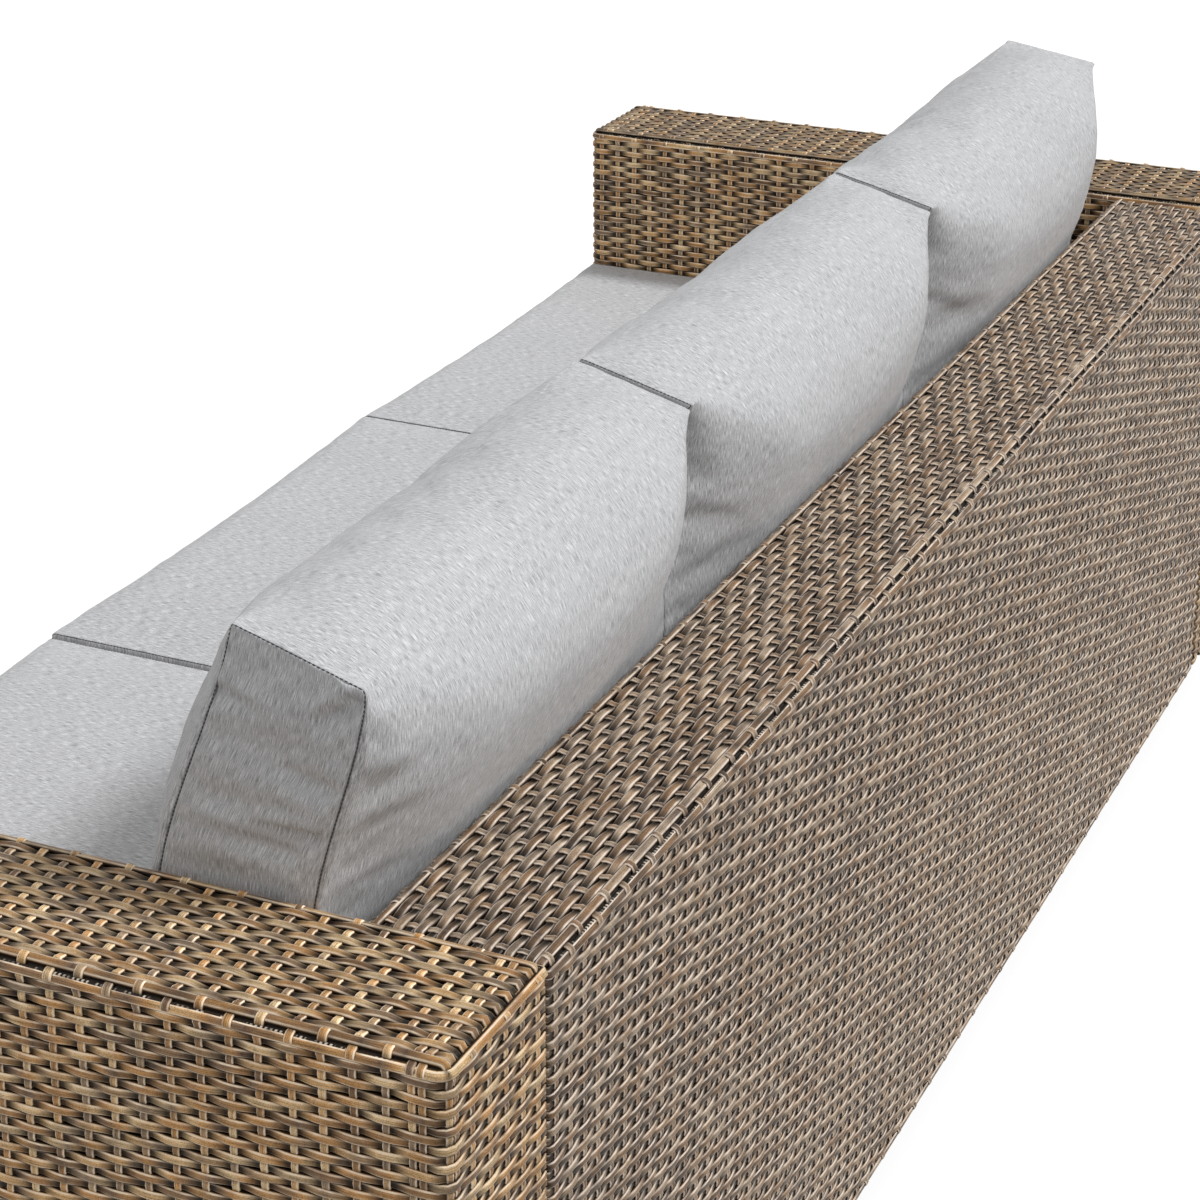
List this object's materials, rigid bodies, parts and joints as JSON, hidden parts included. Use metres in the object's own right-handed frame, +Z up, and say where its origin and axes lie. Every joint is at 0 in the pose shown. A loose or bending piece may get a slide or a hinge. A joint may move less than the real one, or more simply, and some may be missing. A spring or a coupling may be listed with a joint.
{
  "type": "rattan garden sofa",
  "caption": "Long low outdoor sofa: thick woven rattan arms and back round a welded frame, with loose box seat cushions and tapered back cushions that lift off.",
  "frame": {"origin": "on the floor, under the centre of the sofa's box", "axes": "+X along the sofa towards the sitter's left arm, the front faces -Y, +Z up"},
  "size_m": [2.076, 0.8, 0.7872],
  "materials": {
    "woven_rattan": "woven half-round synthetic rattan in mixed brown, tan and grey, low gloss",
    "frame_aluminium": "dark brown powder coat",
    "bolt_steel": "plain stainless steel",
    "glide_plastic": "moulded black plastic",
    "cushion_fabric": "light grey heathered outdoor weave with darker streaks"
  },
  "bodies": {
    "sofa_frame": {"arm_base_ladder_left": "frame_aluminium", "arm_base_ladder_right": "frame_aluminium", "arm_front_posts_left": "frame_aluminium", "arm_front_posts_right": "frame_aluminium", "arm_rear_posts_left": "frame_aluminium", "arm_rear_posts_right": "frame_aluminium", "arm_seat_rail_left": "frame_aluminium", "arm_seat_rail_right": "frame_aluminium", "arm_top_ladder_left": "frame_aluminium", "arm_top_ladder_right": "frame_aluminium", "arm_weave_left": "woven_rattan", "arm_weave_right": "woven_rattan", "back_base_ladder": "frame_aluminium", "back_end_posts_left": "frame_aluminium", "back_end_posts_right": "frame_aluminium", "back_mid_posts_1": "frame_aluminium", "back_mid_posts_2": "frame_aluminium", "back_top_ladder": "frame_aluminium", "back_weave": "woven_rattan", "bolt_back_front_left": "bolt_steel", "bolt_back_front_right": "bolt_steel", "bolt_back_rear_left": "bolt_steel", "bolt_back_rear_right": "bolt_steel", "bolt_seat_front_left": "bolt_steel", "bolt_seat_front_right": "bolt_steel", "bolt_seat_rear_left": "bolt_steel", "bolt_seat_rear_right": "bolt_steel", "front_apron_weave": "woven_rattan", "front_lower_rail": "frame_aluminium", "front_post_left": "frame_aluminium", "front_post_middle": "frame_aluminium", "front_post_right": "frame_aluminium", "glide_left_front": "glide_plastic", "glide_left_rear": "glide_plastic", "glide_middle_front": "glide_plastic", "glide_middle_rear": "glide_plastic", "glide_right_front": "glide_plastic", "glide_right_rear": "glide_plastic", "leg_left_front": "frame_aluminium", "leg_left_rear": "frame_aluminium", "leg_middle_front": "frame_aluminium", "leg_middle_rear": "frame_aluminium", "leg_right_front": "frame_aluminium", "leg_right_rear": "frame_aluminium", "middle_leg_plate": "frame_aluminium", "seat_deck_weave": "woven_rattan", "seat_front_rail": "frame_aluminium", "seat_rear_rail": "frame_aluminium", "seat_side_rail_left": "frame_aluminium", "seat_side_rail_right": "frame_aluminium", "seat_slat_1": "frame_aluminium", "seat_slat_2": "frame_aluminium", "seat_slat_3": "frame_aluminium"},
    "back_cushion_1": {"back_cushion_1": "cushion_fabric"},
    "back_cushion_2": {"back_cushion_2": "cushion_fabric"},
    "back_cushion_3": {"back_cushion_3": "cushion_fabric"},
    "seat_cushion_1": {"seat_cushion_1": "cushion_fabric"},
    "seat_cushion_2": {"seat_cushion_2": "cushion_fabric"},
    "seat_cushion_3": {"seat_cushion_3": "cushion_fabric"}
  },
  "joints": [
    {"name": "seat_cushion_1_slide", "type": "slide", "parent": "sofa_frame", "child": "seat_cushion_1", "axis": [0, -1, 0], "range_m": [0, 0.6]},
    {"name": "seat_cushion_2_slide", "type": "slide", "parent": "sofa_frame", "child": "seat_cushion_2", "axis": [0, -1, 0], "range_m": [0, 0.6]},
    {"name": "seat_cushion_3_slide", "type": "slide", "parent": "sofa_frame", "child": "seat_cushion_3", "axis": [0, -1, 0], "range_m": [0, 0.6]},
    {"name": "back_cushion_1_lift", "type": "slide", "parent": "sofa_frame", "child": "back_cushion_1", "axis": [0, 0, 1], "range_m": [0, 0.4]},
    {"name": "back_cushion_2_lift", "type": "slide", "parent": "sofa_frame", "child": "back_cushion_2", "axis": [0, 0, 1], "range_m": [0, 0.4]},
    {"name": "back_cushion_3_lift", "type": "slide", "parent": "sofa_frame", "child": "back_cushion_3", "axis": [0, 0, 1], "range_m": [0, 0.4]}
  ]
}
